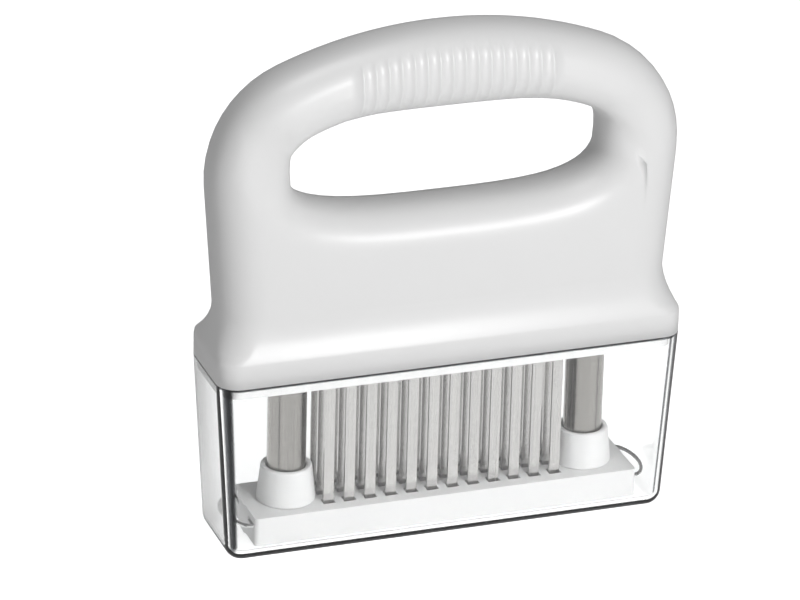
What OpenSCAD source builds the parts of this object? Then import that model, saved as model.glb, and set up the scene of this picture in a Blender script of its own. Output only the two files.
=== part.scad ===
// Blade meat tenderizer in its storage cover: a moulded loop handle, three rows of strip blades
// fixed under it, and a sprung guard plate that slides up two steel columns when it is pressed.
// Frame: +X right, +Y away from the user, +Z up. Origin at the middle of the cover's underside.

/* [Overall] */
// Width across the handle's flange, along X
tool_w = 150; // [140:1:165]
// Depth across the handle's flange, along Y
tool_d = 35; // [34:0.5:38]
// Height from the table to the top of the grip
tool_h = 165; // [160:1:172]

/* [Handle] */
// Height of the upright flange band
flange_h = 7.8; // [6:0.1:9]
// Radius of the flange's upright corners
flange_corner_r = 6.7; // [5:0.1:8]
// Height of the concave sweep from the flange to the body
cove_h = 12.6; // [10:0.1:16]
// How far the body's front and back stand in from the flange
face_inset = 3.3; // [2.5:0.1:3.8]
// Lean of the body's sides, degrees
side_draft = 4.3; // [3:0.1:5]
// Radius of the arch over the grip
crown_r = 140; // [125:1:160]
// Radius of the shoulders
shoulder_r = 36.6; // [32:0.1:40]
// Half depth of the grip
grip_half_d = 12.5; // [12.2:0.1:12.9]
// Upright band left between the rounded edges, half its depth, at the silhouette
edge_land = 1.5; // [1:0.1:2]
// Material between the finger hole and the handle's side, at the hole's middle
grip_side_t = 25; // [23.5:0.5:28]
// Half height of the finger hole
hole_half_h = 15.15; // [13.5:0.05:15.5]
// Material between the finger hole and the top of the grip
grip_t = 25.7; // [25.5:0.1:27]
// Squareness of the finger hole, 2 is an ellipse
hole_power = 3.25; // [2.6:0.05:3.6]

/* [Grip ribs] */
// Number of ribs on the front of the grip
rib_count = 16; // [4:1:18]
// Distance from the middle of the last rib to the end of the finger hole
rib_end = 19.8; // [18.8:0.1:23]
// Width of a rib
rib_w = 1.7; // [1.2:0.1:2.2]
// Height of a rib over the grip
rib_h = 0.5; // [0.2:0.05:0.8]

/* [Cover] */
// Height from the table to the cover's rim
cover_h = 59.45; // [57:0.05:62]
// How far each end of the cover draws in from rim to foot
cover_end_taper = 3.6; // [2:0.1:4]
// How far the cover's front and back draw in from rim to foot
cover_side_taper = 1.5; // [0.8:0.1:1.7]
// Wall of the cover
cover_wall = 2.1; // [1.6:0.1:2.2]
// Floor of the cover
cover_floor = 2.4; // [1.6:0.1:2.6]
// Radius of the upright corners at the cover's foot
cover_foot_r = 5.2; // [5:0.1:6]
// Radius of the rounded lower edge
cover_edge_r = 4.6; // [3:0.1:5]
// Gap between the rim and the handle's flange
rim_gap = 0.15; // [0.1:0.05:0.3]
// Gap between the cover and the handle's plug at the plug's lower edge
plug_clear = 0.3; // [0.2:0.05:0.4]

/* [Base plate] */
// How far the plug stands down into the cover
plug_h = 4; // [3:0.1:5]
// Height of the base plate's block inside the handle
block_h = 8; // [7:0.1:9]
// How far the block stands in from the flange on every side
block_inset = 5.4; // [5:0.1:6]
// Clearance of the block in the handle's mouth
seat_clear = 0.15; // [0.05:0.05:0.3]
// Width of a pocket for a blade carrier, and of the carrier
carrier_d = 5.2; // [4.8:0.1:5.4]

/* [Blades] */
// Blades in a row
blade_count = 12; // [6:1:12]
// Gap between the end of a blade carrier's pocket and a column's bush
carrier_gap = 1; // [0.8:0.1:3]
// Width of a blade
blade_w = 3.3; // [2.6:0.1:3.5]
// Thickness of a blade
blade_t = 1; // [0.7:0.1:1.2]
// Spacing of the rows
row_pitch = 6.6; // [6.4:0.1:6.8]
// Height of the blade tips over the table
tip_z = 6.6; // [5.5:0.1:8]
// Height of the ground point
point_h = 2.4; // [1.5:0.1:3]

/* [Columns] */
// Distance from the guard plate's end to a column's axis
column_end = 13.8; // [13.4:0.1:14.2]
// Outer diameter of a column
column_d = 12.2; // [11.6:0.1:12.6]
// Wall of a column
column_wall = 0.9; // [0.7:0.1:1]
// Radial running clearance of a column in its bush
run_clear = 0.08; // [0.05:0.01:0.1]
// Wall of a guide bush
bush_wall = 1.15; // [1:0.05:1.3]
// How far the bush flange stands out
bush_lip = 1.2; // [0.8:0.1:1.3]
// Thickness of the bush flange
bush_lip_h = 1.5; // [1:0.1:2]
// Width of the stop ring over the column's radius
stop_lip = 1.7; // [1.2:0.1:2]
// Height of the stop ring
stop_h = 2.2; // [1.5:0.1:3]
// Gap between the stop ring and the bush at rest
stop_gap = 0.1; // [0.05:0.05:0.2]
// Length of a column foot's spigot inside the column
spigot_h = 7; // [5:0.5:8]
// Chamfer at the lower edge of a column's foot
foot_chamfer = 1; // [0.5:0.1:1.5]
// Travel of the guard plate
stroke = 30; // [24:0.5:30]

/* [Guard plate] */
// Space for a clip's bail between the guard plate's end and the cover, at the cover's foot
guard_end_gap = 6.8; // [6.6:0.1:8]
// Gap between the guard plate's front and the cover, at the cover's foot
guard_side_gap = 1.3; // [1.1:0.1:1.6]
// Thickness of the guard plate
guard_t = 9.3; // [8.5:0.1:9.8]
// Height of the guard plate over the table
guard_z = 4; // [3.4:0.1:4.4]
// Radius of the guard plate's upright corners
guard_corner_r = 1.5; // [1:0.1:3]
// Diameter of a cone boss at its foot
cone_foot_d = 18.6; // [18:0.1:18.8]
// Diameter of a cone boss at its top
cone_top_d = 15.9; // [15.4:0.1:16.6]
// Height of a cone boss
cone_h = 11.6; // [10:0.1:12]
// Radial clearance of a column in its cone boss
socket_clear = 0.15; // [0.1:0.05:0.2]
// Width of a blade slot
slot_w = 3.9; // [3.8:0.05:4]
// Depth of a blade slot
slot_d = 3.4; // [2.4:0.1:3.6]

/* [Wire clips] */
// Diameter of the clip wire
wire_d = 1.3; // [1:0.1:1.5]
// Depth of the wire's middle below the guard plate's top
clip_drop = 3; // [2.6:0.1:3.4]
// Half spacing of the clip's legs where they leave the plate
bail_half_w = 10.6; // [9.6:0.1:10.8]
// How far the bail stands out of the plate
bail_out = 5.3; // [4:0.1:5.5]
// Gap between the wire and the groove it lies in
clip_clear = 0.1; // [0.05:0.05:0.2]
// Depth of the groove round a column's foot
groove_depth = 1.2; // [0.8:0.1:1.4]

/* [Springs] */
// Outer diameter of a return spring
spring_d = 9.2; // [8.4:0.1:9.6]
// Diameter of the spring wire
spring_wire_d = 0.9; // [0.7:0.1:1.1]
// Curls in a spring
spring_curls = 16; // [8:1:20]
// Diameter of the guide pin inside a spring
guide_pin_d = 6; // [5:0.1:6.2]
// Thickness of the guide pin's head
guide_head_h = 2; // [1.5:0.1:2.5]
// Clearance of the guide pin's head in its well
head_clear = 0.1; // [0.05:0.05:0.2]

/* [Screws] */
// Diameter of the base screws
screw_d = 3; // [2.5:0.1:3.4]
// Diameter of a screw head
screw_head_d = 5.4; // [4.8:0.1:5.8]
// Length of a screw under its head
screw_len = 16; // [13:0.5:18]
// Distance of the screws from the columns' axes along X
screw_out = 13.9; // [13.5:0.1:14.4]
// Distance of the screws from the parting plane
screw_y = 6.5; // [6:0.1:7]

/* [Hidden] */
$fn = 48;
// Overrun of a cut past the face that it opens
over = 1;

// Handle levels
hole_half_w = tool_w / 2 - grip_side_t;
cover_foot_w = tool_w - 2 * cover_end_taper;
cover_foot_d = tool_d - 2 * cover_side_taper;
flange_z = cover_h + rim_gap;
flange_top_z = flange_z + flange_h;
neck_z = flange_top_z + cove_h;
hole_z = tool_h - grip_t - hole_half_h;
crown_z = tool_h - crown_r;
shoulder_x = tool_w / 2 - shoulder_r;
shoulder_z = crown_z + sqrt(pow(crown_r - shoulder_r, 2) - pow(shoulder_x, 2));
shoulder_angle = atan2(shoulder_z - crown_z, shoulder_x);
neck_half_w = shoulder_x + (shoulder_r + sin(side_draft) * (neck_z - shoulder_z)) / cos(side_draft);
neck_half_d = tool_d / 2 - face_inset;

// Half depth of the body at a height, and the radius of its rounded edges there
function half_depth(z) =
    neck_half_d + (grip_half_d - neck_half_d) * (z - neck_z) / (tool_h - neck_z);
function edge_r(z) = half_depth(z) - edge_land;

// Finger hole: a superellipse, by the angle of its normal or by its x
hole_turn_share = hole_power / (2 * hole_power - 2);
function hole_at_angle(a) =
    let (t = abs(a) >= 90 ? 90 : atan(pow(tan(abs(a)) * hole_half_h / hole_half_w, hole_turn_share)))
    [hole_half_w * pow(cos(t), 2 / hole_power),
     hole_z + sign(a) * hole_half_h * pow(sin(t), 2 / hole_power)];
function hole_at_x(x, side) =
    [x, hole_z + side * hole_half_h * pow(1 - pow(abs(x) / hole_half_w, hole_power), 1 / hole_power)];
function unit(v) = v / norm(v);
function hole_normal(p) =
    unit([sign(p[0]) * pow(abs(p[0]) / hole_half_w, hole_power - 1) / hole_half_w,
          sign(p[1] - hole_z) * pow(abs(p[1] - hole_z) / hole_half_h, hole_power - 1) / hole_half_h]);

// The two rounded edges share a section's length, so the inner one takes what the outer one leaves
function lip_r(s) =
    min(edge_r(s[0][1]), norm(s[3] - s[0]) - edge_r(s[3][1]) - edge_land);

// Outer outline above the neck, by the angle of its normal
function outer_at_angle(a) = a >= shoulder_angle
    ? [crown_r * cos(a), crown_z + crown_r * sin(a)]
    : [shoulder_x + shoulder_r * cos(a), shoulder_z + shoulder_r * sin(a)];
function crown_at_x(x) = [x, crown_z + sqrt(pow(crown_r, 2) - pow(x, 2))];

// Stations round the finger hole, each with the points and directions of its section:
// point on the hole, way into the material, outward normal there,
// point on the outline, way out, outward normal there
rib_steps = 5;
rib_rise_shares = [0, 0.75, 1, 0.75, 0];
rib_half_span = hole_half_w - rib_end;
rib_pitch = 2 * rib_half_span / (rib_count - 1);
grip_half_span = rib_half_span + rib_pitch;
// Both halves have their stations at the ribs, so that their skins meet point for point
rib_xs = [for (k = [0:rib_count - 1]) for (s = [0:rib_steps - 1])
    -rib_half_span + k * rib_pitch + rib_w * (s / (rib_steps - 1) - 1 / 2)];
function grip_station(x) =
    let (h = hole_at_x(x, 1), o = crown_at_x(x))
    [h, [0, 1], hole_normal(h), o, [0, 1], unit(o - [0, crown_z])];
// From the ribs to the end of the crown the sections turn from upright to square with the outline
crown_steps = 4;
crown_end_share = 0.88;
crown_from_angle = acos(grip_half_span / crown_r);
function lean(p, side) = [side * p[0], p[1]];
function crown_station(k, side) =
    let (t = k / crown_steps,
         x = grip_half_span + (crown_end_share * hole_half_w - grip_half_span) * t,
         b = crown_from_angle + (shoulder_angle - crown_from_angle) * t,
         h = lean(hole_at_x(x, 1), side), n = lean([cos(b), sin(b)], side))
    [h, unit((1 - t) * [0, 1] + t * hole_normal(h)), hole_normal(h),
     lean(outer_at_angle(b), side), unit((1 - t) * [0, 1] + t * n), n];
// Round the shoulder both outlines are followed by their normals' angles
fan_steps = 10;
crown_end_normal = hole_normal(hole_at_x(crown_end_share * hole_half_w, 1));
fan_from = [atan2(crown_end_normal[1], crown_end_normal[0]), shoulder_angle];
function fan_station(k, side) =
    let (a = fan_from[0] * (1 - k / fan_steps), b = fan_from[1] + (-side_draft - fan_from[1]) * k / fan_steps)
    let (h = lean(hole_at_angle(a), side), n = lean([cos(b), sin(b)], side))
    [h, hole_normal(h), hole_normal(h), lean(outer_at_angle(b), side), n, n];
side_steps = 3;
side_turn = 52;
function side_station(k, side) =
    let (h = lean(hole_at_angle(-side_turn * k / (side_steps + 1)), side),
         top = outer_at_angle(-side_draft),
         p = top + ([neck_half_w, neck_z] - top) * k / (side_steps + 1),
         n = lean([cos(side_draft), -sin(side_draft)], side))
    [h, hole_normal(h), hole_normal(h), lean(p, side), n, n];
function corner_station(side) =
    let (h = lean(hole_at_angle(-side_turn), side))
    [h, hole_normal(h), hole_normal(h), [side * neck_half_w, neck_z], [side, 0], [side, 0]];
foot_steps = 9;
// Stations under the hole run down to the neck between its rounded corners
neck_flat = neck_half_w - edge_r(neck_z);
function foot_station(k) =
    let (share = 1 - 2 * k / (2 * foot_steps),
         a = -90 + (90 - side_turn) * pow(abs(share), 2),
         h = lean(hole_at_angle(a), share < 0 ? -1 : 1))
    [h, hole_normal(h), hole_normal(h), [neck_flat * share, neck_z]];

lip_steps = 5;
edge_steps = 6;
// Points of one section from the parting plane inside the hole to the front face
function lip_points(s, rise) =
    let (r = lip_r(s), b = half_depth(s[0][1]), slant = s[1] * s[2])
    concat([[s[0][0], 0, s[0][1]]],
           [for (k = [0:lip_steps])
               let (a = 90 * k / lip_steps, p = s[0] + s[1] * r * (1 - cos(a)) / slant)
               [p[0], -(b - r + r * sin(a)) - rise * rib_fade(a - 90), p[1]]]);
// Points of one section from the front face to the parting plane on the outline
function edge_points(s, rise) =
    let (r = edge_r(s[3][1]), b = half_depth(s[3][1]), slant = s[4] * s[5])
    concat([for (k = [0:edge_steps])
               let (a = 90 * k / edge_steps, p = s[3] - s[4] * r * (1 - sin(a)) / slant,
                    out = rise * rib_fade(a))
               [p[0], -(b - r + r * cos(a)) - out * cos(a), p[1] + out * sin(a) * s[4][1]]],
           [[s[3][0], 0, s[3][1]]]);
// A rib stands full over the front of the grip and fades at both ends, by the section's angle
rib_top_angle = 46;
rib_low_angle = -54;
rib_fade_angle = 20;
function rib_fade(a) =
    max(0, min(1, (rib_top_angle - a) / rib_fade_angle, (a - rib_low_angle) / rib_fade_angle));

// Flange and cove: the front half of a rounded rectangle at each level, in the neck's own points
level_steps = 6;
function level(t) =
    let (share = pow(t, 2), w = neck_half_w + (tool_w / 2 - neck_half_w) * share,
         d = neck_half_d + (tool_d / 2 - neck_half_d) * share,
         r = edge_r(neck_z) + (flange_corner_r - edge_r(neck_z)) * share)
    [w, d, r, neck_z - cove_h * t];
crease = 0.8;
levels = concat([for (k = [1:level_steps - 1]) level(k / level_steps)],
                [[tool_w / 2 - crease / 4, tool_d / 2 - crease / 4,
                  flange_corner_r - crease / 4, flange_top_z + crease / 4],
                 [tool_w / 2, tool_d / 2, flange_corner_r, flange_top_z - crease],
                 [tool_w / 2, tool_d / 2, flange_corner_r, flange_z]]);
function level_ring(l) = concat(
    [[l[0], 0, l[3]]],
    [for (k = [edge_steps:-1:0])
        let (a = 90 * k / edge_steps)
        [l[0] - l[2] * (1 - sin(a)), -(l[1] - l[2] * (1 - cos(a))), l[3]]],
    [for (k = [1:2 * foot_steps - 1]) [(l[0] - l[2]) * (1 - k / foot_steps), -l[1], l[3]]],
    [for (k = [0:edge_steps])
        let (a = 90 * k / edge_steps)
        [-l[0] + l[2] * (1 - sin(a)), -(l[1] - l[2] * (1 - cos(a))), l[3]]],
    [[-l[0], 0, l[3]]]);

// Front half of the handle as one skin closed by the flat parting face at y = 0
module half_handle(ribbed) {
    grip = [for (x = concat([-grip_half_span], rib_xs, [grip_half_span])) grip_station(x)];
    rises = concat([0], [for (k = [1:rib_count]) for (s = rib_rise_shares) ribbed ? s * rib_h : 0], [0]);
    right = concat([for (k = [1:crown_steps]) crown_station(k, 1)],
                   [for (k = [1:fan_steps]) fan_station(k, 1)],
                   [for (k = [1:side_steps]) side_station(k, 1)], [corner_station(1)]);
    left = concat([corner_station(-1)], [for (k = [side_steps:-1:1]) side_station(k, -1)],
                  [for (k = [fan_steps:-1:1]) fan_station(k, -1)],
                  [for (k = [crown_steps:-1:1]) crown_station(k, -1)]);
    arch = concat(left, grip, right);
    foot = [for (k = [1:2 * foot_steps - 1]) foot_station(k)];
    arch_n = len(arch);
    foot_n = len(foot);
    ring_n = arch_n + foot_n;
    lip_n = lip_steps + 2;
    edge_n = edge_steps + 2;
    arch_rises = concat([for (k = [1:len(left)]) 0], rises, [for (k = [1:len(right)]) 0]);
    // The arch runs from the left corner over the top to the right corner, the foot runs back
    lips = [for (k = [0:arch_n - 1]) each lip_points(arch[k], arch_rises[k]),
            for (s = foot) each lip_points(s, 0)];
    edges = [for (k = [0:arch_n - 1]) each edge_points(arch[k], arch_rises[k])];
    neck_row = [for (s = foot) [s[3][0], -neck_half_d, neck_z]];
    rings = [for (l = levels) each level_ring(l)];
    level_n = 2 * (edge_steps + 2) + foot_n;
    edge_0 = ring_n * lip_n;
    neck_0 = edge_0 + arch_n * edge_n;
    level_0 = neck_0 + foot_n;
    function lip_id(k, s) = (k % ring_n) * lip_n + s;
    function edge_id(k, s) = edge_0 + k * edge_n + s;
    // Point numbers of the neck's ring, from its right end round the front to its left end
    neck_ids = concat([for (s = [edge_n - 1:-1:0]) edge_id(arch_n - 1, s)],
                      [for (k = [0:foot_n - 1]) neck_0 + k],
                      [for (s = [0:edge_n - 1]) edge_id(0, s)]);
    function ring_id(l, k) = l < 0 ? neck_ids[k] : level_0 + l * level_n + k;
    level_last = len(levels) - 1;
    // The parting face under the hole is fanned out from the two lower ends and the hole's corners
    foot_mid = arch_n - 1 + foot_steps;
    low_right = ring_id(level_last, 0);
    low_left = ring_id(level_last, level_n - 1);
    faces = concat(
        [for (k = [0:ring_n - 1]) for (s = [0:lip_n - 2])
            each split(lip_id(k, s), lip_id(k + 1, s), lip_id(k + 1, s + 1), lip_id(k, s + 1))],
        [for (k = [0:arch_n - 2]) for (s = [0:edge_n - 2])
            each split(edge_id(k, s), edge_id(k + 1, s), edge_id(k + 1, s + 1), edge_id(k, s + 1))],
        [for (k = [0:arch_n - 2])
            each split(lip_id(k, lip_n - 1), lip_id(k + 1, lip_n - 1), edge_id(k + 1, 0), edge_id(k, 0))],
        [for (k = [0:foot_n])
            let (a = k == 0 ? edge_id(arch_n - 1, 0) : neck_0 + k - 1,
                 b = k == foot_n ? edge_id(0, 0) : neck_0 + k)
            each split(lip_id(arch_n - 1 + k, lip_n - 1), lip_id(arch_n + k, lip_n - 1), b, a)],
        [for (l = [-1:level_last - 1]) for (k = [0:level_n - 2])
            each split(ring_id(l, k), ring_id(l, k + 1), ring_id(l + 1, k + 1), ring_id(l + 1, k))],
        [for (k = [0:arch_n - 2])
            each split(lip_id(k + 1, 0), lip_id(k, 0), edge_id(k, edge_n - 1), edge_id(k + 1, edge_n - 1))],
        [for (k = [arch_n - 1:ring_n - 1])
            [lip_id(k + 1, 0), lip_id(k, 0), k < foot_mid ? low_right : low_left]],
        [[lip_id(foot_mid, 0), low_right, low_left]],
        [for (l = [-1:level_last - 1])
            each [[lip_id(arch_n - 1, 0), ring_id(l, 0), ring_id(l + 1, 0)],
                  [lip_id(0, 0), ring_id(l + 1, level_n - 1), ring_id(l, level_n - 1)]]],
        [[for (k = [0:level_n - 1]) ring_id(level_last, k)]]);
    polyhedron(points = concat(lips, edges, neck_row, rings),
               faces = [for (f = faces) [for (k = [len(f) - 1:-1:0]) f[k]]], convexity = 10);
}
function split(a, b, c, d) = [[a, b, c], [a, c, d]];

// The guard plate fits the cover, the columns stand in from its ends, the screws out from them
guard_w = cover_foot_w - 2 * (cover_wall + guard_end_gap);
guard_d = cover_foot_d - 2 * (cover_wall + guard_side_gap);

// Inside the handle
column_x = guard_w / 2 - column_end;
screw_x = column_x + screw_out;
column_r = column_d / 2;
plug_z = flange_z - plug_h;
block_top_z = flange_z + block_h;
block_half_w = tool_w / 2 - block_inset;
block_half_d = tool_d / 2 - block_inset;
bush_r = column_r + run_clear + bush_wall;
bush_top_z = block_top_z + bush_lip_h;
column_top_z = bush_top_z + stop_gap + stop_h;
stop_r = column_r + stop_lip;
well_clear = 0.5;
well_r = max(bush_r + bush_lip, stop_r) + well_clear;
head_gap = 2;
guide_z = column_top_z + stroke + head_gap;
well_top_z = guide_z + guide_head_h;
core_wall = 3.6;
core_half_w = column_x - well_r - core_wall;
core_half_d = neck_half_d - core_wall;
core_top_z = hole_z - hole_half_h - 2 * core_wall;
core_ribs = 2;
core_rib_t = 1.8;
peg_d = 4;
peg_len = 3;
peg_clear = 0.1;
peg_places = [[0, tool_h - grip_t / 2], [column_x + 0.29 * shoulder_r, shoulder_z],
              [-column_x - 0.29 * shoulder_r, shoulder_z]];

// Room for the base plate, the wells of the columns and the hollow core
module handle_cuts() {
    translate([-block_half_w - seat_clear, -block_half_d - seat_clear, flange_z - over])
        cube([2 * (block_half_w + seat_clear), 2 * (block_half_d + seat_clear), block_h + over]);
    for (side = [-1, 1])
        translate([side * column_x, 0, block_top_z - over])
            cylinder(r = well_r, h = well_top_z - block_top_z + over);
    bay_w = (2 * core_half_w - core_ribs * core_rib_t) / (core_ribs + 1);
    for (k = [0:core_ribs])
        translate([-core_half_w + k * (bay_w + core_rib_t), -core_half_d, block_top_z - over])
            cube([bay_w, 2 * core_half_d, core_top_z - block_top_z + over]);
    screw_hole_h = plug_z + head_sink + screw_len + over - block_top_z;
    for (sx = [-1, 1])
        for (sy = [-1, 1])
            translate([sx * screw_x, sy * screw_y, block_top_z - over])
                cylinder(d = screw_d + 2 * screw_clear, h = screw_hole_h + over);
}

module handle_front() {
    color("white") difference() {
        union() {
            half_handle(true);
            for (p = peg_places)
                translate([p[0], peg_len, p[1]]) rotate([90, 0, 0]) cylinder(d = peg_d, h = 2 * peg_len);
        }
        handle_cuts();
    }
}

module handle_rear() {
    color("white") difference() {
        mirror([0, 1, 0]) half_handle(false);
        handle_cuts();
        for (p = peg_places)
            translate([p[0], peg_len + peg_clear, p[1]]) rotate([90, 0, 0])
                cylinder(d = peg_d + 2 * peg_clear, h = peg_len + peg_clear + over);
    }
}

// Base plate: closes the handle's mouth, guides the columns and holds the blades
// The plug's sizes are kept to a grid, so that its round corners run true into its flat sides
plug_grid = 0.05;
plug_inset = plug_grid
    * round((cover_wall + plug_clear + (tool_d - cover_foot_d) / 2 * (rim_gap + plug_h) / cover_h) / plug_grid);
plug_corner_r = flange_corner_r - plug_inset + cover_wall / 2;
carrier_end = 1.5;
carrier_clear = 0.1;
// The carriers fill the space between the bushes and the blades are spread evenly along them
carrier_half_w = column_x - bush_r - carrier_gap - carrier_clear;
blade_pitch = 2 * (carrier_half_w - carrier_end - blade_w / 2) / (blade_count - 1);
blade_xs = [for (k = [0:blade_count - 1]) (k - (blade_count - 1) / 2) * blade_pitch];
carrier_floor = 0.9;
carrier_cap = 1.2;
carrier_z = flange_z + carrier_floor;
carrier_top_z = block_top_z;
pass_clear = 0.2;
head_sink = 2;
screw_clear = 0.05;
row_names = [-1, 0, 1];

// A slab with round upright corners and true cylinders in them
module rounded_slab(half_w, half_d, r, h) {
    translate([-half_w + r, -half_d, 0]) cube([2 * (half_w - r), 2 * half_d, h]);
    translate([-half_w, -half_d + r, 0]) cube([2 * half_w, 2 * (half_d - r), h]);
    for (sx = [-1, 1])
        for (sy = [-1, 1])
            translate([sx * (half_w - r), sy * (half_d - r), 0]) cylinder(r = r, h = h);
}

module base_plate() {
    color("gainsboro") difference() {
        union() {
            translate([0, 0, plug_z])
                rounded_slab(tool_w / 2 - plug_inset, tool_d / 2 - plug_inset, plug_corner_r, plug_h);
            translate([-block_half_w, -block_half_d, flange_z - over])
                cube([2 * block_half_w, 2 * block_half_d, block_h + over]);
        }
        for (side = [-1, 1])
            translate([side * column_x, 0, plug_z - over])
                cylinder(r = bush_r, h = plug_h + block_h + 2 * over);
        for (row = row_names) {
            translate([-carrier_half_w - carrier_clear, row * row_pitch - carrier_d / 2 - carrier_clear,
                       carrier_z])
                cube([2 * (carrier_half_w + carrier_clear), carrier_d + 2 * carrier_clear, block_h + over]);
            for (x = blade_xs)
                translate([x - blade_w / 2 - pass_clear, row * row_pitch - blade_t / 2 - pass_clear,
                           plug_z - over])
                    cube([blade_w + 2 * pass_clear, blade_t + 2 * pass_clear, plug_h + block_h]);
        }
        for (sx = [-1, 1])
            for (sy = [-1, 1])
                translate([sx * screw_x, sy * screw_y, plug_z - over]) {
                    cylinder(d = screw_d + 2 * screw_clear, h = plug_h + block_h + 2 * over);
                    cylinder(d = screw_head_d + 4 * screw_clear, h = head_sink + over);
                }
    }
}

module guide_bush(side) {
    color("whitesmoke") translate([side * column_x, 0, 0]) difference() {
        union() {
            translate([0, 0, plug_z]) cylinder(r = bush_r, h = bush_top_z - plug_z);
            translate([0, 0, block_top_z]) cylinder(r = bush_r + bush_lip, h = bush_lip_h);
        }
        translate([0, 0, plug_z - over])
            cylinder(r = column_r + run_clear, h = bush_top_z - plug_z + 2 * over);
    }
}

// Blade rows: each blade is a strip ground to a double point, moulded into its row's carrier
module carrier(row) {
    color("lightgray") translate([0, row * row_pitch, 0]) difference() {
        translate([-carrier_half_w, -carrier_d / 2, carrier_z])
            cube([2 * carrier_half_w, carrier_d, carrier_top_z - carrier_z]);
        for (x = blade_xs)
            translate([x - blade_w / 2, -blade_t / 2, carrier_z - over])
                cube([blade_w, blade_t, blade_top_z - carrier_z + over]);
    }
}

blade_top_z = carrier_top_z - carrier_cap;
edge_flat = 0.12;
module blade() {
    intersection() {
        translate([0, blade_t / 2, 0]) rotate([90, 0, 0]) linear_extrude(blade_t)
            polygon([[-blade_w / 2, blade_top_z], [-blade_w / 2, tip_z + point_h],
                     [-edge_flat, tip_z], [edge_flat, tip_z],
                     [blade_w / 2, tip_z + point_h], [blade_w / 2, blade_top_z]]);
        translate([-blade_w / 2, 0, 0]) rotate([90, 0, 90]) linear_extrude(blade_w)
            polygon([[-blade_t / 2, blade_top_z], [-blade_t / 2, tip_z + point_h],
                     [-edge_flat, tip_z], [edge_flat, tip_z],
                     [blade_t / 2, tip_z + point_h], [blade_t / 2, blade_top_z]]);
    }
}
module blade_row(row) {
    color("silver")
        for (x = blade_xs)
            translate([x, row * row_pitch, 0]) blade();
}

module base_screws() {
    color("silver")
        for (sx = [-1, 1])
            for (sy = [-1, 1])
                translate([sx * screw_x, sy * screw_y, plug_z]) difference() {
                    union() {
                        cylinder(d = screw_head_d, h = head_sink);
                        cylinder(d = screw_d, h = head_sink + screw_len);
                    }
                    for (turn = [0, 90])
                        rotate([0, 0, turn])
                            translate([-screw_head_d / 4, -screw_d / 10, -over])
                                cube([screw_head_d / 2, screw_d / 5, head_sink / 2 + over]);
                }
}

// Springs run inside the columns, from the column's foot up to the guide pin's head
column_inner_r = column_r - column_wall;
groove_wall = 1.6;
column_foot_top_z = guard_z + guard_t - clip_drop + wire_d / 2 + clip_clear + groove_wall;
spring_low_z = column_foot_top_z + spigot_h;
spring_high_z = guide_z;
module spring_guide(side) {
    pin_low_z = column_top_z - spigot_h;
    color("whitesmoke") translate([side * column_x, 0, 0]) {
        translate([0, 0, guide_z]) cylinder(r = well_r - head_clear, h = guide_head_h);
        translate([0, 0, pin_low_z]) cylinder(d = guide_pin_d, h = guide_z - pin_low_z + over);
    }
}

// One unbroken tube whose middle line climbs a helix between two flat end turns
curl_rings = 8;
tube_sides = 6;
end_turns = 1;
spring_r = (spring_d - spring_wire_d) / 2;
spring_low = spring_low_z + spring_wire_d / 2;
spring_rise = spring_high_z - spring_low_z - spring_wire_d;
spring_end_rise = 1.45;
turns_free = spring_curls - 2 * end_turns;
function spring_height(t) = t < end_turns ? spring_end_rise * t
    : t > spring_curls - end_turns
        ? spring_rise - spring_end_rise * (spring_curls - t)
        : end_turns * spring_end_rise
          + (t - end_turns) * (spring_rise - 2 * end_turns * spring_end_rise) / turns_free;
function spring_point(t) =
    [spring_r * cos(360 * t), spring_r * sin(360 * t), spring_low + spring_height(t)];
spring_path = [for (k = [0:spring_curls * curl_rings]) spring_point(k / curl_rings)];
// Straight stretch of one wire diameter at each end, along the tangent
function spring_run(t, way) =
    spring_point(t) + way * spring_wire_d * [-sin(360 * t), cos(360 * t), 0];
spring_line = concat([spring_run(0, -1)], spring_path, [spring_run(spring_curls, 1)]);

function frame_at(line, k) =
    let (n = len(line), d = unit(line[min(k + 1, n - 1)] - line[max(k - 1, 0)]),
         side = unit(cross([0, 0, 1], d)))
    [side, cross(d, side)];
function tube_points(line, r, sides) = [for (k = [0:len(line) - 1])
    let (f = frame_at(line, k))
    for (s = [0:sides - 1]) line[k] + r * (cos(360 * s / sides) * f[0] + sin(360 * s / sides) * f[1])];
function tube_faces(n, sides) = concat(
    [[for (s = [0:sides - 1]) s]],
    [for (k = [0:n - 2]) for (s = [0:sides - 1])
        each split(k * sides + s, (k + 1) * sides + s, (k + 1) * sides + (s + 1) % sides,
                   k * sides + (s + 1) % sides)],
    [[for (s = [sides - 1:-1:0]) (n - 1) * sides + s]]);
module tube(line, r, sides) {
    polyhedron(points = tube_points(line, r, sides), faces = tube_faces(len(line), sides), convexity = 10);
}
// Least gap between neighbouring curls, from the path's own points
spring_gap = min([for (k = [0:len(spring_path) - 1 - curl_rings + 1])
    for (m = [k + curl_rings - 1:min(k + curl_rings + 1, len(spring_path) - 1)])
        norm(spring_path[m] - spring_path[k])]) - spring_wire_d;
echo(spring_least_gap = spring_gap);

module spring(side) {
    color("silver") translate([side * column_x, 0, 0]) tube(spring_line, spring_wire_d / 2, tube_sides);
}

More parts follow.
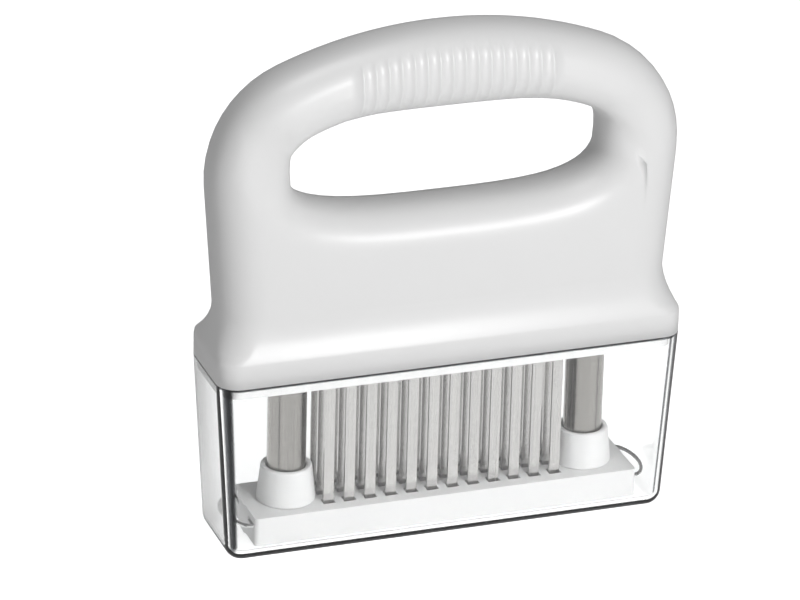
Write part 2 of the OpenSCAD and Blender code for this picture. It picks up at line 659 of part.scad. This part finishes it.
// Columns with their feet and stop rings
module column(side) {
    color("silver") translate([side * column_x, 0, column_foot_top_z]) difference() {
        cylinder(r = column_r, h = column_top_z - column_foot_top_z);
        translate([0, 0, -over])
            cylinder(r = column_inner_r, h = column_top_z - column_foot_top_z + 2 * over);
    }
}
module stop_ring(side) {
    color("dimgray") translate([side * column_x, 0, column_top_z - stop_h]) difference() {
        cylinder(r = stop_r, h = stop_h);
        translate([0, 0, -over]) cylinder(r = column_r, h = stop_h + 2 * over);
    }
}
wire_r = wire_d / 2;
clip_z = guard_z + guard_t - clip_drop;
groove_r = column_r - groove_depth;
foot_z = guard_z + foot_chamfer / 2;
module column_foot(side) {
    groove_h = wire_d + 2 * clip_clear;
    color("dimgray") translate([side * column_x, 0, 0]) difference() {
        union() {
            translate([0, 0, foot_z]) cylinder(r1 = column_r - foot_chamfer, r2 = column_r, h = foot_chamfer);
            translate([0, 0, foot_z + foot_chamfer])
                cylinder(r = column_r, h = column_foot_top_z - foot_z - foot_chamfer);
            translate([0, 0, column_foot_top_z]) cylinder(r = column_inner_r, h = spigot_h);
        }
        translate([0, 0, clip_z - groove_h / 2]) difference() {
            cylinder(r = column_r + over, h = groove_h);
            translate([0, 0, -over]) cylinder(r = groove_r, h = groove_h + 2 * over);
        }
    }
}

// Guard plate with the blade slots and the side slots of the clips, and the cone bosses on it
socket_r = column_r + socket_clear;
leg_half_w = groove_r + clip_clear + wire_r;
clip_reach = 4;
clip_inner_x = column_x - clip_reach;
clip_bend_x = column_x + column_r + wire_d;
clip_out_x = guard_w / 2 - wire_d;
module guard_plate() {
    slot_low_y = leg_half_w - wire_r - clip_clear;
    slot_high_y = bail_half_w + wire_r + clip_clear;
    slot_in_x = clip_inner_x - 2 * clip_clear;
    slot_h = wire_d + 2 * clip_clear;
    color("white") difference() {
        translate([0, 0, guard_z]) rounded_slab(guard_w / 2, guard_d / 2, guard_corner_r, guard_t);
        for (side = [-1, 1]) {
            translate([side * column_x, 0, guard_z - over])
                cylinder(r = socket_r, h = guard_t + 2 * over);
            for (leg = [-1, 1])
                translate([side > 0 ? slot_in_x : -guard_w / 2 - over,
                           leg > 0 ? slot_low_y : -slot_high_y, clip_z - slot_h / 2])
                    cube([guard_w / 2 + over - slot_in_x, slot_high_y - slot_low_y, slot_h]);
        }
        for (row = row_names)
            for (x = blade_xs)
                translate([x - slot_w / 2, row * row_pitch - slot_d / 2, guard_z - over])
                    cube([slot_w, slot_d, guard_t + 2 * over]);
    }
}

module column_boss(side) {
    color("white") translate([side * column_x, 0, guard_z + guard_t]) difference() {
        cylinder(r1 = cone_foot_d / 2, r2 = cone_top_d / 2, h = cone_h);
        translate([0, 0, -over]) cylinder(r = socket_r, h = cone_h + 2 * over);
    }
}

// Wire clip: two legs in the groove of the column's foot, splayed to the bail outside the plate
bail_steps = 14;
bend_steps = 5;
function bend_share(t) = (1 - cos(180 * t)) / 2;
function half_clip(leg) = concat(
    [[clip_inner_x, leg * leg_half_w, clip_z]],
    [for (k = [0:bend_steps])
        let (t = k / bend_steps)
        [clip_bend_x + (clip_out_x - clip_bend_x) * t,
         leg * (leg_half_w + (bail_half_w - leg_half_w) * bend_share(t)), clip_z]]);
bail = [for (k = [0:bail_steps])
    let (a = 90 - 180 * k / bail_steps)
    [guard_w / 2 + bail_out * cos(a), bail_half_w * sin(a), clip_z]];
clip_front = half_clip(-1);
clip_line = concat(half_clip(1), bail, [for (k = [len(clip_front) - 1:-1:0]) clip_front[k]]);
wire_sides = 10;
module clip_right() {
    color("silver") tube(clip_line, wire_r, wire_sides);
}
module clip_left() {
    mirror([1, 0, 0]) clip_right();
}

// Clear cover: one skin from the inner floor over the rim to the rounded underside
corner_steps = 6;
function cover_ring(share, inset, low_r, z) =
    let (w = cover_foot_w / 2 + (tool_w - cover_foot_w) / 2 * share - inset,
         d = cover_foot_d / 2 + (tool_d - cover_foot_d) / 2 * share - inset,
         r = max(cover_foot_r + (flange_corner_r - cover_foot_r) * share - inset, low_r))
    [for (q = [0:3]) for (k = [0:corner_steps])
        let (a = 90 * (q + k / corner_steps))
        [(q == 0 || q == 3 ? 1 : -1) * (w - r) + r * cos(a),
         (q < 2 ? 1 : -1) * (d - r) + r * sin(a), z]];
edge_ring_steps = 5;
inner_edge_r = cover_edge_r - cover_wall;
least_r = 0.4;
cover_rings = concat(
    [for (k = [0:edge_ring_steps])
        let (a = 90 * k / edge_ring_steps, z = cover_floor + inner_edge_r * (1 - cos(a)))
        cover_ring(z / cover_h, cover_wall + inner_edge_r * (1 - sin(a)), least_r, z)],
    [cover_ring(1, cover_wall, least_r, cover_h), cover_ring(1, 0, least_r, cover_h)],
    [for (k = [edge_ring_steps:-1:0])
        let (a = 90 * k / edge_ring_steps, z = cover_edge_r * (1 - cos(a)))
        cover_ring(z / cover_h, cover_edge_r * (1 - sin(a)), least_r, z)]);
module cover() {
    n = 4 * (corner_steps + 1);
    rings = len(cover_rings);
    color("lightcyan", 0.4) polyhedron(
        points = [for (r = cover_rings) each r],
        faces = concat(
            [[for (k = [n - 1:-1:0]) k]],
            [for (r = [0:rings - 2]) for (k = [0:n - 1])
                each split(r * n + k, r * n + (k + 1) % n, (r + 1) * n + (k + 1) % n, (r + 1) * n + k)],
            [[for (k = [0:n - 1]) (rings - 1) * n + k]]),
        convexity = 6);
}

handle_front();
handle_rear();
base_plate();
guide_bush(-1);  // guide_bush_left
guide_bush(1);  // guide_bush_right
carrier(-1);  // carrier_front
carrier(0);  // carrier_middle
carrier(1);  // carrier_rear
blade_row(-1);  // blades_front
blade_row(0);  // blades_middle
blade_row(1);  // blades_rear
base_screws();
spring_guide(-1);  // spring_guide_left
spring_guide(1);  // spring_guide_right
spring(-1);  // spring_left
spring(1);  // spring_right
column(-1);  // column_left
column(1);  // column_right
stop_ring(-1);  // stop_ring_left
stop_ring(1);  // stop_ring_right
column_foot(-1);  // column_foot_left
column_foot(1);  // column_foot_right
guard_plate();
column_boss(-1);  // column_boss_left
column_boss(1);  // column_boss_right
clip_left();
clip_right();
cover();
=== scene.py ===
import bpy
import bmesh
from math import radians, sin, cos, tau
from mathutils import Vector, Matrix


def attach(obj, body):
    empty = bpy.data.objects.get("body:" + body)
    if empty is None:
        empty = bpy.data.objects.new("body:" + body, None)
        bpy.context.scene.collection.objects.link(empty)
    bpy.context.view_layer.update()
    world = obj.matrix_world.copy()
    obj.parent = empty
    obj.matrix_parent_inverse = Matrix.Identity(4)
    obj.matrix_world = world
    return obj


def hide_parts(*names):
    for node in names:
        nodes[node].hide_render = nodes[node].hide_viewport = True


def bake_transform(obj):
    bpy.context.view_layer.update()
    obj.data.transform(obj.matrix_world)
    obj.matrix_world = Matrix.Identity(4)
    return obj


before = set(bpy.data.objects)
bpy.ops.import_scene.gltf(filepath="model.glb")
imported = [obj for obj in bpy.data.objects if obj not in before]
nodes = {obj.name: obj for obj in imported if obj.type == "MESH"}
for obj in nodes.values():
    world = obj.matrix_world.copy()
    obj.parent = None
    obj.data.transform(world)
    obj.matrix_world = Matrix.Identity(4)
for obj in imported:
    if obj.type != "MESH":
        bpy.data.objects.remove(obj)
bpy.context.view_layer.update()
scene = bpy.context.scene
mm = 0.001
columnX = 48.7 * mm


# Shared pieces of the materials

mouldDepth = 0.0001
grindDepth = 0.00005
driftScale = 28.0
streakSpread = (0.3, 0.7)


def newGroup(name, inputs, outputs):
    group = bpy.data.node_groups.new(name, "ShaderNodeTree")
    for label, kind, value in inputs:
        socket = group.interface.new_socket(label, in_out="INPUT", socket_type=kind)
        socket.default_value = value
    for label, kind in outputs:
        group.interface.new_socket(label, in_out="OUTPUT", socket_type=kind)
    return group, group.nodes.new("NodeGroupInput"), group.nodes.new("NodeGroupOutput")


def noiseNode(tree, vector, scale, detail=2.0):
    noise = tree.nodes.new("ShaderNodeTexNoise")
    noise.inputs["Detail"].default_value = detail
    if isinstance(scale, float):
        noise.inputs["Scale"].default_value = scale
    else:
        tree.links.new(scale, noise.inputs["Scale"])
    tree.links.new(vector, noise.inputs["Vector"])
    return noise


def rangeNode(tree, value, low, high):
    remap = tree.nodes.new("ShaderNodeMapRange")
    tree.links.new(value, remap.inputs["Value"])
    for socket, source in (("To Min", low), ("To Max", high)):
        if isinstance(source, float):
            remap.inputs[socket].default_value = source
        else:
            tree.links.new(source, remap.inputs[socket])
    return remap.outputs["Result"]


def combine(tree, operation, first, second):
    node = tree.nodes.new("ShaderNodeMath")
    node.operation = operation
    for socket, source in zip(node.inputs, (first, second)):
        if isinstance(source, float):
            socket.default_value = source
        else:
            tree.links.new(source, socket)
    return node.outputs[0]


def makeMouldedGroup():
    # moulded plastic: broad tone drift, fine texture from the mould
    group, source, sink = newGroup(
        "mouldedSurface",
        [("Color", "NodeSocketColor", (0.8, 0.8, 0.8, 1)), ("Drift", "NodeSocketFloat", 0.03),
         ("Grain", "NodeSocketFloat", 900.0), ("Bump", "NodeSocketFloat", 0.05),
         ("Gloss Low", "NodeSocketFloat", 0.3), ("Gloss High", "NodeSocketFloat", 0.4)],
        [("Color", "NodeSocketColor"), ("Roughness", "NodeSocketFloat"), ("Normal", "NodeSocketVector")])
    where = group.nodes.new("ShaderNodeTexCoord").outputs["Object"]
    broad = noiseNode(group, where, driftScale)
    fine = noiseNode(group, where, source.outputs["Grain"], 3.0)
    # the tone drifts around one, by the noise's distance from its middle
    centred = combine(group, "SUBTRACT", broad.outputs["Fac"], 0.5)
    shade = combine(group, "ADD", combine(group, "MULTIPLY", centred, source.outputs["Drift"]), 1.0)
    tint = group.nodes.new("ShaderNodeVectorMath")
    tint.operation = "SCALE"
    group.links.new(source.outputs["Color"], tint.inputs[0])
    group.links.new(shade, tint.inputs["Scale"])
    group.links.new(tint.outputs["Vector"], sink.inputs["Color"])
    rough = rangeNode(group, fine.outputs["Fac"],
                      source.outputs["Gloss Low"], source.outputs["Gloss High"])
    group.links.new(rough, sink.inputs["Roughness"])
    bump = group.nodes.new("ShaderNodeBump")
    bump.inputs["Distance"].default_value = mouldDepth
    group.links.new(source.outputs["Bump"], bump.inputs["Strength"])
    group.links.new(fine.outputs["Fac"], bump.inputs["Height"])
    group.links.new(bump.outputs["Normal"], sink.inputs["Normal"])
    return group


def makeGrainGroup():
    # metal drawn or ground along Z: long streaks in tone, gloss and height
    group, source, sink = newGroup(
        "drawnMetal",
        [("Color", "NodeSocketColor", (0.6, 0.6, 0.6, 1)), ("Streak", "NodeSocketFloat", 0.2),
         ("Across", "NodeSocketFloat", 1400.0), ("Along", "NodeSocketFloat", 12.0),
         ("Bump", "NodeSocketFloat", 0.1),
         ("Gloss Low", "NodeSocketFloat", 0.2), ("Gloss High", "NodeSocketFloat", 0.38)],
        [("Color", "NodeSocketColor"), ("Roughness", "NodeSocketFloat"), ("Normal", "NodeSocketVector")])
    where = group.nodes.new("ShaderNodeTexCoord").outputs["Object"]
    stretch = group.nodes.new("ShaderNodeCombineXYZ")
    for axis in ("X", "Y"):
        group.links.new(source.outputs["Across"], stretch.inputs[axis])
    group.links.new(source.outputs["Along"], stretch.inputs["Z"])
    scaled = group.nodes.new("ShaderNodeVectorMath")
    scaled.operation = "MULTIPLY"
    group.links.new(where, scaled.inputs[0])
    group.links.new(stretch.outputs[0], scaled.inputs[1])
    streaks = noiseNode(group, scaled.outputs["Vector"], 1.0, 3.0)
    darkest = combine(group, "SUBTRACT", 1.0, source.outputs["Streak"])
    tone = group.nodes.new("ShaderNodeMapRange")
    group.links.new(streaks.outputs["Fac"], tone.inputs["Value"])
    tone.inputs["From Min"].default_value, tone.inputs["From Max"].default_value = streakSpread
    group.links.new(darkest, tone.inputs["To Min"])
    tone.inputs["To Max"].default_value = 1.0
    tint = group.nodes.new("ShaderNodeVectorMath")
    tint.operation = "SCALE"
    group.links.new(source.outputs["Color"], tint.inputs[0])
    group.links.new(tone.outputs["Result"], tint.inputs["Scale"])
    group.links.new(tint.outputs["Vector"], sink.inputs["Color"])
    rough = rangeNode(group, streaks.outputs["Fac"],
                      source.outputs["Gloss High"], source.outputs["Gloss Low"])
    group.links.new(rough, sink.inputs["Roughness"])
    bump = group.nodes.new("ShaderNodeBump")
    bump.inputs["Distance"].default_value = grindDepth
    group.links.new(source.outputs["Bump"], bump.inputs["Strength"])
    group.links.new(streaks.outputs["Fac"], bump.inputs["Height"])
    group.links.new(bump.outputs["Normal"], sink.inputs["Normal"])
    return group


mouldedGroup = makeMouldedGroup()
grainGroup = makeGrainGroup()


def newMaterial(name, group, settings, metallic=0.0):
    material = bpy.data.materials.new(name)
    material.use_nodes = True
    tree = material.node_tree
    shader = tree.nodes["Principled BSDF"]
    shader.inputs["Metallic"].default_value = metallic
    surface = tree.nodes.new("ShaderNodeGroup")
    surface.node_tree = group
    for label, value in settings.items():
        surface.inputs[label].default_value = (*value, 1) if label == "Color" else value
    for output, socket in (("Color", "Base Color"), ("Roughness", "Roughness"), ("Normal", "Normal")):
        tree.links.new(surface.outputs[output], shader.inputs[socket])
    return material


plastic = {
    "handle": {"Color": (0.80, 0.80, 0.80), "Drift": 0.02, "Grain": 700.0, "Bump": 0.04,
               "Gloss Low": 0.30, "Gloss High": 0.38},
    "base": {"Color": (0.66, 0.66, 0.66), "Drift": 0.03, "Gloss Low": 0.42, "Gloss High": 0.52},
    "guard": {"Color": (0.60, 0.60, 0.60), "Drift": 0.03, "Gloss Low": 0.40, "Gloss High": 0.50},
    "carrier": {"Color": (0.60, 0.60, 0.60), "Drift": 0.03, "Gloss Low": 0.45, "Gloss High": 0.55},
    "bush": {"Color": (0.82, 0.82, 0.79), "Drift": 0.02, "Gloss Low": 0.32, "Gloss High": 0.42},
    "fitting": {"Color": (0.07, 0.07, 0.075), "Drift": 0.05, "Bump": 0.1,
                "Gloss Low": 0.42, "Gloss High": 0.55},
}
plasticMaterials = {name: newMaterial(name + "Plastic", mouldedGroup, values)
                    for name, values in plastic.items()}
metal = {
    "column": {"Color": (0.30, 0.29, 0.275), "Streak": 0.14, "Across": 2200.0, "Along": 6.0,
               "Bump": 0.015, "Gloss Low": 0.13, "Gloss High": 0.20},
    "blade": {"Color": (0.52, 0.51, 0.50), "Streak": 0.10, "Across": 2600.0, "Along": 12.0,
              "Bump": 0.015, "Gloss Low": 0.20, "Gloss High": 0.30},
    "wire": {"Color": (0.60, 0.60, 0.60), "Streak": 0.1, "Across": 700.0, "Along": 700.0,
             "Gloss Low": 0.12, "Gloss High": 0.22},
    "screw": {"Color": (0.52, 0.52, 0.52), "Streak": 0.2, "Across": 1200.0, "Along": 40.0,
              "Gloss Low": 0.24, "Gloss High": 0.38},
}
metalMaterials = {name: newMaterial(name + "Steel", grainGroup, values, metallic=1.0)
                  for name, values in metal.items()}


# Clear plastic of the cover: refracts, and lets the light of the lamps through to what it holds

# the dark edge colour is painted shade, laid on the cover's grazing edges, corners, foot and rim
clear = {"ior": 1.53, "haze": 0.03, "hazeScale": 60.0,
         "paintedEdgeShade": (0.015, 0.016, 0.018, 1), "faceTone": (0.955, 0.96, 0.96, 1),
         "grazing": (0.52, 0.97), "corner": (0.78, 0.97), "front": (0.012, -0.010),
         "foot": (0.22, 0.42), "flat": (0.985, 0.95), "rim": (0.0586, 0.0590)}


def remap(tree, value, limits):
    node = tree.nodes.new("ShaderNodeMapRange")
    node.interpolation_type = "SMOOTHSTEP"
    node.inputs["From Min"].default_value, node.inputs["From Max"].default_value = limits
    tree.links.new(value, node.inputs["Value"])
    return node.outputs["Result"]


def fallOff(tree, value, limits):
    # one below the lower limit, zero above the upper, which is given first
    return combine(tree, "SUBTRACT", 1.0, remap(tree, value, limits[::-1]))


def makeClearMaterial():
    material = bpy.data.materials.new("coverClear")
    material.use_nodes = True
    tree = material.node_tree
    shader = tree.nodes["Principled BSDF"]
    shader.inputs["Transmission Weight"].default_value = 1.0
    shader.inputs["IOR"].default_value = clear["ior"]
    where = tree.nodes.new("ShaderNodeTexCoord").outputs["Object"]
    haze = noiseNode(tree, where, clear["hazeScale"])
    tree.links.new(rangeNode(tree, haze.outputs["Fac"], 0.0, clear["haze"]), shader.inputs["Roughness"])
    facing = tree.nodes.new("ShaderNodeLayerWeight")
    facing.inputs["Blend"].default_value = 0.5
    place = tree.nodes.new("ShaderNodeSeparateXYZ")
    tree.links.new(where, place.inputs[0])
    normal = tree.nodes.new("ShaderNodeSeparateXYZ")
    tree.links.new(tree.nodes.new("ShaderNodeNewGeometry").outputs["Normal"], normal.inputs[0])
    across, along = (combine(tree, "ABSOLUTE", output, 0.0) for output in normal.outputs[:2])
    down = combine(tree, "MULTIPLY", normal.outputs["Z"], -1.0)
    # painted shade: the base colour is darkened where the wall is seen at a grazing angle, at its front
    # corners and along its foot, standing in for the dark lines that refraction draws on clear plastic
    # there
    diagonal = combine(tree, "MULTIPLY", combine(tree, "MULTIPLY", across, along), 2.0)
    corner = combine(tree, "MULTIPLY", remap(tree, diagonal, clear["corner"]),
                     remap(tree, place.outputs["Y"], clear["front"]))
    foot = combine(tree, "MULTIPLY", remap(tree, down, clear["foot"]), fallOff(tree, down, clear["flat"]))
    # painted shadow: the top face of the rim, where it meets the handle's flange, is darkened into a thin
    # dark line
    rim = remap(tree, place.outputs["Z"], clear["rim"])
    dark = remap(tree, facing.outputs["Facing"], clear["grazing"])
    for mask in (corner, foot, rim):
        dark = combine(tree, "MAXIMUM", dark, mask)
    tone = tree.nodes.new("ShaderNodeMix")
    tone.data_type = "RGBA"
    tone.inputs[6].default_value = clear["faceTone"]
    tone.inputs[7].default_value = clear["paintedEdgeShade"]
    tree.links.new(dark, tone.inputs["Factor"])
    tree.links.new(tone.outputs[2], shader.inputs["Base Color"])
    through = tree.nodes.new("ShaderNodeBsdfTransparent")
    rays = tree.nodes.new("ShaderNodeLightPath")
    mix = tree.nodes.new("ShaderNodeMixShader")
    tree.links.new(rays.outputs["Is Shadow Ray"], mix.inputs[0])
    tree.links.new(shader.outputs[0], mix.inputs[1])
    tree.links.new(through.outputs[0], mix.inputs[2])
    tree.links.new(mix.outputs[0], tree.nodes["Material Output"].inputs["Surface"])
    return material


clearMaterial = makeClearMaterial()
print("materials made")


# Pieces

weldDistance = 2e-6
onParting = 1e-6
turnSegments = 64
bevelSegments = 3


def weldedCopy(*names):
    # a CAD node is loose triangles, so its copy is welded
    work = bmesh.new()
    for name in names:
        work.from_mesh(nodes[name].data)
    bmesh.ops.remove_doubles(work, verts=work.verts, dist=weldDistance)
    return work


def joinFlats(work, degrees=0.5):
    bmesh.ops.dissolve_limit(work, angle_limit=radians(degrees), verts=work.verts, edges=work.edges)


def addPiece(name, work, body, replaced, material, sharp=35, edge=0.0):
    mesh = bpy.data.meshes.new(name)
    work.to_mesh(mesh)
    work.free()
    mesh.shade_smooth()
    mesh.set_sharp_from_angle(angle=radians(sharp))
    piece = bpy.data.objects.new(name, mesh)
    scene.collection.objects.link(piece)
    mesh.materials.append(material)
    if edge:
        bevel = piece.modifiers.new("roundedEdges", "BEVEL")
        bevel.width = edge
        bevel.segments = bevelSegments
        bevel.limit_method = "ANGLE"
        bevel.angle_limit = radians(sharp)
        bevel.use_clamp_overlap = True
        bevel.harden_normals = True
    if body:
        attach(piece, body)
    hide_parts(*replaced)
    return piece


def turned(profile, x):
    # a closed outline of (radius, height) turned about a column's axis
    work = bmesh.new()
    corners = [work.verts.new((r * mm, 0, z * mm)) for r, z in profile]
    ring = [work.edges.new((a, b)) for a, b in zip(corners, corners[1:] + corners[:1])]
    bmesh.ops.spin(work, geom=corners + ring, cent=(0, 0, 0), axis=(0, 0, 1), angle=tau,
                   steps=turnSegments, use_merge=True)
    bmesh.ops.remove_doubles(work, verts=work.verts, dist=1e-7)
    bmesh.ops.recalc_face_normals(work, faces=work.faces)
    bmesh.ops.translate(work, verts=work.verts, vec=(x, 0, 0))
    return work


# Handle: one smooth skin, the two halves welded along their parting line

handle = {"sharpAngle": 60, "smoothPasses": 14, "smoothFactor": 0.5, "clearOfParting": 0.005,
          "shoulderX": (0.053, 0.066), "shoulderZ": (0.119, 0.140)}


def makeHandle():
    work = weldedCopy("handle_front", "handle_rear")
    parting = [f for f in work.faces if all(abs(v.co.y) < onParting for v in f.verts)]
    bmesh.ops.delete(work, geom=parting, context="FACES")
    bmesh.ops.remove_doubles(work, verts=work.verts, dist=weldDistance)
    keepSkin(work)
    # the surface beyond each end of the finger hole is evened out
    lowX, highX = handle["shoulderX"]
    lowZ, highZ = handle["shoulderZ"]
    shoulders = [v for v in work.verts if lowX < abs(v.co.x) < highX and lowZ < v.co.z < highZ
                 and abs(v.co.y) > handle["clearOfParting"]]
    for _ in range(handle["smoothPasses"]):
        bmesh.ops.smooth_vert(work, verts=shoulders, factor=handle["smoothFactor"],
                              use_axis_x=True, use_axis_y=True, use_axis_z=True)
    addPiece("handle", work, "handle", ["handle_front", "handle_rear"],
             plasticMaterials["handle"], sharp=handle["sharpAngle"])


def keepSkin(work):
    # only the largest connected surface stays: the locating pegs are inside
    left = set(work.faces)
    groups = []
    while left:
        stack = [left.pop()]
        group = set(stack)
        while stack:
            for edge in stack.pop().edges:
                for face in edge.link_faces:
                    if face in left:
                        left.discard(face)
                        group.add(face)
                        stack.append(face)
        groups.append(group)
    groups.sort(key=len)
    for group in groups[:-1]:
        bmesh.ops.delete(work, geom=list(group), context="FACES")
    print("handle surfaces", [len(g) for g in groups])


makeHandle()
print("handle made")

# Base plate, carriers, blades, screws and guard plate: welded copies, edges rounded in millimetres
softEdges = {
    "basePlate": ("base_plate", "handle", "base_plastic", plasticMaterials["base"], 0.35),
    "carrierFront": ("carrier_front", "handle", "carrier_plastic", plasticMaterials["carrier"], 0.15),
    "carrierMiddle": ("carrier_middle", "handle", "carrier_plastic", plasticMaterials["carrier"], 0.15),
    "carrierRear": ("carrier_rear", "handle", "carrier_plastic", plasticMaterials["carrier"], 0.15),
    "bladesFront": ("blades_front", "handle", "blade_steel", metalMaterials["blade"], 0.06),
    "bladesMiddle": ("blades_middle", "handle", "blade_steel", metalMaterials["blade"], 0.06),
    "bladesRear": ("blades_rear", "handle", "blade_steel", metalMaterials["blade"], 0.06),
    "baseScrews": ("base_screws", "handle", "screw_steel", metalMaterials["screw"], 0.1),
    "guardPlate": ("guard_plate", "guard", "guard_plastic", plasticMaterials["guard"], 0.45),
}
for pieceName, (node, body, slotName, material, width) in softEdges.items():
    copyMesh = weldedCopy(node)
    joinFlats(copyMesh)
    addPiece(pieceName, copyMesh, body, [node], material, edge=width * mm)
print("moulded parts and blades made")

# Turned pieces on the two columns, as outlines of radius and height in millimetres
turnedParts = {
    "Column": ("column", "guard", "column_steel", metalMaterials["column"], 0.12,
               [(6.1, 12.65), (6.1, 71.4), (5.2, 71.4), (5.2, 12.65)]),
    "Boss": ("column_boss", "guard", "guard_plastic", plasticMaterials["guard"], 0.6,
             [(9.3, 13.3), (7.95, 24.9), (6.25, 24.9), (6.25, 13.3)]),
    "Bush": ("guide_bush", "handle", "bush_plastic", plasticMaterials["bush"], 0.2,
             [(7.33, 55.6), (7.33, 67.6), (8.53, 67.6), (8.53, 69.1), (6.18, 69.1), (6.18, 55.6)]),
    "StopRing": ("stop_ring", "guard", "fitting_plastic", plasticMaterials["fitting"], 0.2,
                 [(7.8, 69.2), (7.8, 71.4), (6.1, 71.4), (6.1, 69.2)]),
}
for label, (node, body, slotName, material, width, outline) in turnedParts.items():
    for side, sign in (("left", -1), ("right", 1)):
        addPiece(side + label, turned(outline, sign * columnX), body, [node + "_" + side],
                 material, edge=width * mm)
fittingEdge = 0.2 * mm
for side in ("left", "right"):
    for label, node, body in (("Foot", "column_foot", "guard"), ("Guide", "spring_guide", "handle")):
        copyMesh = weldedCopy(node + "_" + side)
        joinFlats(copyMesh)
        addPiece(side + label, copyMesh, body, [node + "_" + side],
                 plasticMaterials["fitting"], edge=fittingEdge)
print("turned parts made")

# Clips and springs: round wire
for side, sign in (("left", -1), ("right", 1)):
    wire = weldedCopy("clip_" + side)
    addPiece(side + "Clip", wire, "guard", ["clip_" + side],
             metalMaterials["wire"], sharp=50)
    coil = weldedCopy("spring_" + side)
    spring = addPiece(side + "Spring", coil, None, ["spring_" + side],
                      metalMaterials["wire"], sharp=70)
    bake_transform(spring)
print("wire parts made")

# Cover: the welded skin, smooth over its rounded corners
cover = weldedCopy("cover")
joinFlats(cover, 0.3)
addPiece("cover", cover, "cover", ["cover"], clearMaterial, sharp=40)
print("cover made")


# Floor, light and camera, with the view's angles in degrees and its lengths in millimetres

# a lamp is its place, its side and its power
studio = {"floorSize": 3.0, "floorDrop": 0.00005, "floorTone": (0.90, 0.90, 0.90, 1), "floorRough": 0.8,
          "floorGlow": 0.85, "bounce": 0.05, "backdrop": 1.02, "white": (1, 1, 1, 1),
          "side": 0.06, "facing": 0.45, "axis": (-0.34, -0.94, 0.0), "aim": (0, 0, 0.09),
          "key": (0.30, -1.25, 0.60, 0.38, 10.0), "fill": (-0.25, -0.20, 1.50, 0.60, 5.0)}


def makeFloor():
    work = bmesh.new()
    bmesh.ops.create_grid(work, x_segments=1, y_segments=1, size=studio["floorSize"])
    bmesh.ops.translate(work, verts=work.verts, vec=(0, 0, -studio["floorDrop"]))
    mesh = bpy.data.meshes.new("floor")
    work.to_mesh(mesh)
    work.free()
    floor = bpy.data.objects.new("floor", mesh)
    scene.collection.objects.link(floor)
    material = bpy.data.materials.new("paleFloor")
    material.use_nodes = True
    tree = material.node_tree
    shader = tree.nodes["Principled BSDF"]
    shader.inputs["Base Color"].default_value = studio["floorTone"]
    shader.inputs["Roughness"].default_value = studio["floorRough"]
    # pure white to the camera, straight or through the cover, and little light upward
    shader.inputs["Emission Color"].default_value = studio["white"]
    rays = tree.nodes.new("ShaderNodeLightPath")
    seen = combine(tree, "MAXIMUM", rays.outputs["Is Camera Ray"], rays.outputs["Is Transmission Ray"])
    tree.links.new(rangeNode(tree, seen, studio["bounce"], studio["floorGlow"]),
                   shader.inputs["Emission Strength"])
    mesh.materials.append(material)


def makeWorld():
    # soft light from the front and the back, dark flags to the sides, white behind for the camera
    world = bpy.data.worlds.new("studio")
    world.use_nodes = True
    tree = world.node_tree
    sky = tree.nodes["Background"]
    toward = tree.nodes.new("ShaderNodeVectorMath")
    toward.operation = "DOT_PRODUCT"
    toward.inputs[1].default_value = studio["axis"]
    tree.links.new(tree.nodes.new("ShaderNodeTexCoord").outputs["Generated"], toward.inputs[0])
    squared = combine(tree, "MULTIPLY", toward.outputs["Value"], toward.outputs["Value"])
    glow = rangeNode(tree, squared, studio["side"], studio["facing"])
    rays = tree.nodes.new("ShaderNodeLightPath")
    choice = tree.nodes.new("ShaderNodeMix")
    choice.inputs["B"].default_value = studio["backdrop"]
    tree.links.new(rays.outputs["Is Camera Ray"], choice.inputs["Factor"])
    tree.links.new(glow, choice.inputs["A"])
    tree.links.new(choice.outputs["Result"], sky.inputs["Strength"])
    sky.inputs["Color"].default_value = studio["white"]
    scene.world = world


def makeLamp(name):
    x, y, z, size, power = studio[name]
    data = bpy.data.lights.new(name + "Lamp", "AREA")
    data.shape = "SQUARE"
    data.size = size
    data.energy = power
    lamp = bpy.data.objects.new(name + "Lamp", data)
    lamp.location = (x, y, z)
    aim = Vector(studio["aim"]) - lamp.location
    lamp.rotation_mode = "QUATERNION"
    lamp.rotation_quaternion = aim.to_track_quat("-Z", "Y")
    scene.collection.objects.link(lamp)


view = {"yaw": 19.776, "lift": 24.322, "roll": 1.512, "lens": 232.21, "distance": 1578.872,
        "target": (-12.654, 0.0, 74.852), "sensor": 36, "clip": (0.05, 20)}


def makeCamera():
    yaw, lift, roll = (radians(view[k]) for k in ("yaw", "lift", "roll"))
    back = Vector((-sin(yaw) * cos(lift), -cos(yaw) * cos(lift), sin(lift)))
    right = Vector((cos(yaw), -sin(yaw), 0))
    up = back.cross(right)
    turnedRight = right * cos(roll) + up * sin(roll)
    turnedUp = up * cos(roll) - right * sin(roll)
    data = bpy.data.cameras.new("camera")
    data.sensor_width = view["sensor"]
    data.lens = view["lens"]
    data.clip_start, data.clip_end = view["clip"]
    camera = bpy.data.objects.new("camera", data)
    scene.collection.objects.link(camera)
    place = Vector(view["target"]) * mm + back * view["distance"] * mm
    turn = Matrix((turnedRight, turnedUp, back)).transposed().to_4x4()
    camera.matrix_world = Matrix.Translation(place) @ turn
    scene.camera = camera


makeFloor()
for lampName in ("key", "fill"):
    makeLamp(lampName)
makeCamera()
makeWorld()
scene.view_settings.view_transform = "Standard"
print("studio made")
